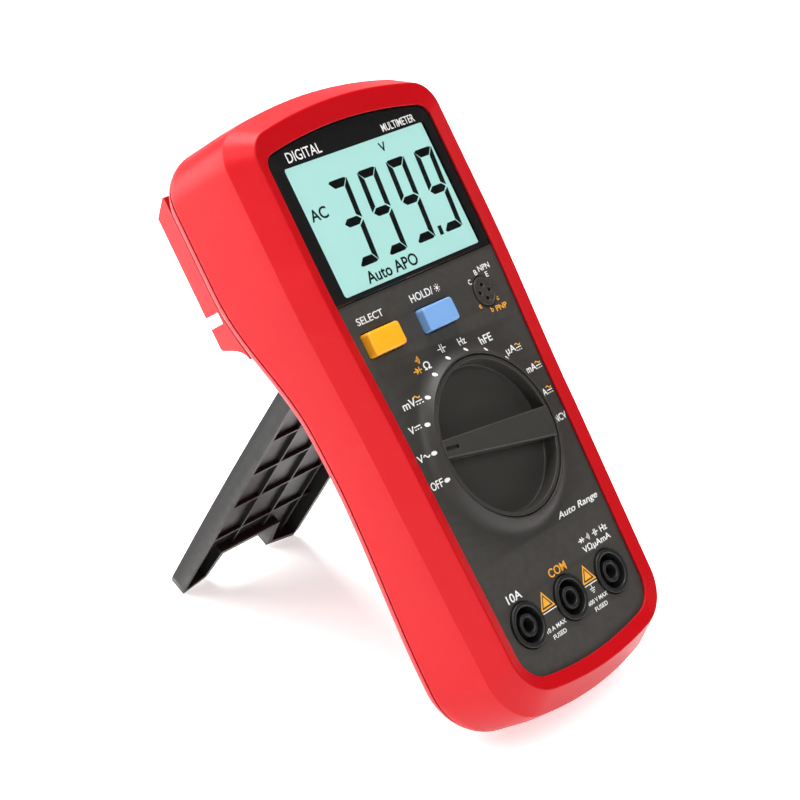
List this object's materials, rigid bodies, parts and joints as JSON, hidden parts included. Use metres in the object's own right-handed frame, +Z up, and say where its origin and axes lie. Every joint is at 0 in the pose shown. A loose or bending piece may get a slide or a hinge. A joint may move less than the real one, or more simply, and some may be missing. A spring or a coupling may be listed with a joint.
{
  "type": "digital multimeter",
  "caption": "Hand-held digital multimeter leaning on a fold-out tilt stand, with a lit display, rotary range switch, push buttons and shrouded test jacks.",
  "frame": {"origin": "centre of the bounding box at the height of the surface it stands on", "axes": "+Z up, +X to the right seen from the front; the face leans back, looks towards -Y and up"},
  "size_m": [0.08, 0.1364, 0.1537],
  "materials": {
    "red_overmould": "satin soft-touch red",
    "red_case": "satin moulded red",
    "panel": "fine-textured warm dark grey",
    "black_plastic": "satin black",
    "lens": "clear acrylic with a black printed border",
    "lcd": "pale cyan lit liquid crystal",
    "light_guide": "white",
    "rubber": "dull",
    "yellow_button": "satin yellow",
    "blue_button": "satin blue",
    "board": "solder mask",
    "battery_wrap": "printed metal jacket",
    "red_lead": "insulation",
    "steel": "zinc plated",
    "ceramic": "glazed",
    "brass": "plain",
    "stand": "satin dark grey"
  },
  "bodies": {
    "meter": {"backlight_panel": "light_guide", "battery": "battery_wrap", "battery_door": "red_case", "battery_lead_black": "black_plastic", "battery_lead_red": "red_lead", "battery_snap": "black_plastic", "bezel_overmould": "red_overmould", "board_screw_1": "steel", "board_screw_2": "steel", "board_screw_3": "steel", "board_screw_4": "steel", "button_pad": "rubber", "buzzer": "black_plastic", "capacitor_1": "black_plastic", "capacitor_2": "black_plastic", "case_screw_1": "steel", "case_screw_2": "steel", "case_screw_3": "steel", "case_screw_4": "steel", "crystal": "steel", "current_shunt": "brass", "display_lens": "lens", "door_screw": "steel", "front_case": "panel", "fuse_milliamp": "ceramic", "fuse_milliamp_clip_1": "brass", "fuse_milliamp_clip_2": "brass", "fuse_ten_amp": "ceramic", "fuse_ten_amp_clip_1": "brass", "fuse_ten_amp_clip_2": "brass", "jack_contact_amps": "brass", "jack_contact_common": "brass", "jack_contact_volts": "brass", "jack_sleeve_amps": "black_plastic", "jack_sleeve_common": "black_plastic", "jack_sleeve_volts": "black_plastic", "lcd_frame": "black_plastic", "lcd_glass": "lcd", "main_board": "board", "main_chip": "black_plastic", "rear_case": "red_case", "thermistor": "ceramic", "transistor_socket": "black_plastic", "trimmer": "blue_button", "voltage_sensor": "brass", "zebra_strip": "rubber"},
    "dial": {"rotary_knob": "panel", "wiper_plate": "board", "detent_ball_1": "steel", "detent_ball_2": "steel"},
    "select_key": {"select_button": "yellow_button"},
    "hold_key": {"hold_button": "blue_button"},
    "stand": {"tilt_stand": "stand", "stand_hinge_pin": "steel"}
  },
  "joints": [
    {"name": "dial_turn", "type": "hinge", "parent": "meter", "child": "dial", "pos_m": [0, -0.02733, 0.07318], "axis": [0, -0.8041, 0.5945], "range_deg": [-180.7, 18.07]},
    {"name": "select_press", "type": "slide", "parent": "meter", "child": "select_key", "axis": [0, 0.8041, -0.5945], "range_m": [0, 0.0008], "stiffness_N_per_m": 800, "springref_m": -0.0003},
    {"name": "hold_press", "type": "slide", "parent": "meter", "child": "hold_key", "axis": [0, 0.8041, -0.5945], "range_m": [0, 0.0008], "stiffness_N_per_m": 800, "springref_m": -0.0003},
    {"name": "stand_fold", "type": "hinge", "parent": "meter", "child": "stand", "pos_m": [0, 0.01833, 0.08364], "axis": [-1, 0, 0], "range_deg": [0, 65.7]}
  ]
}
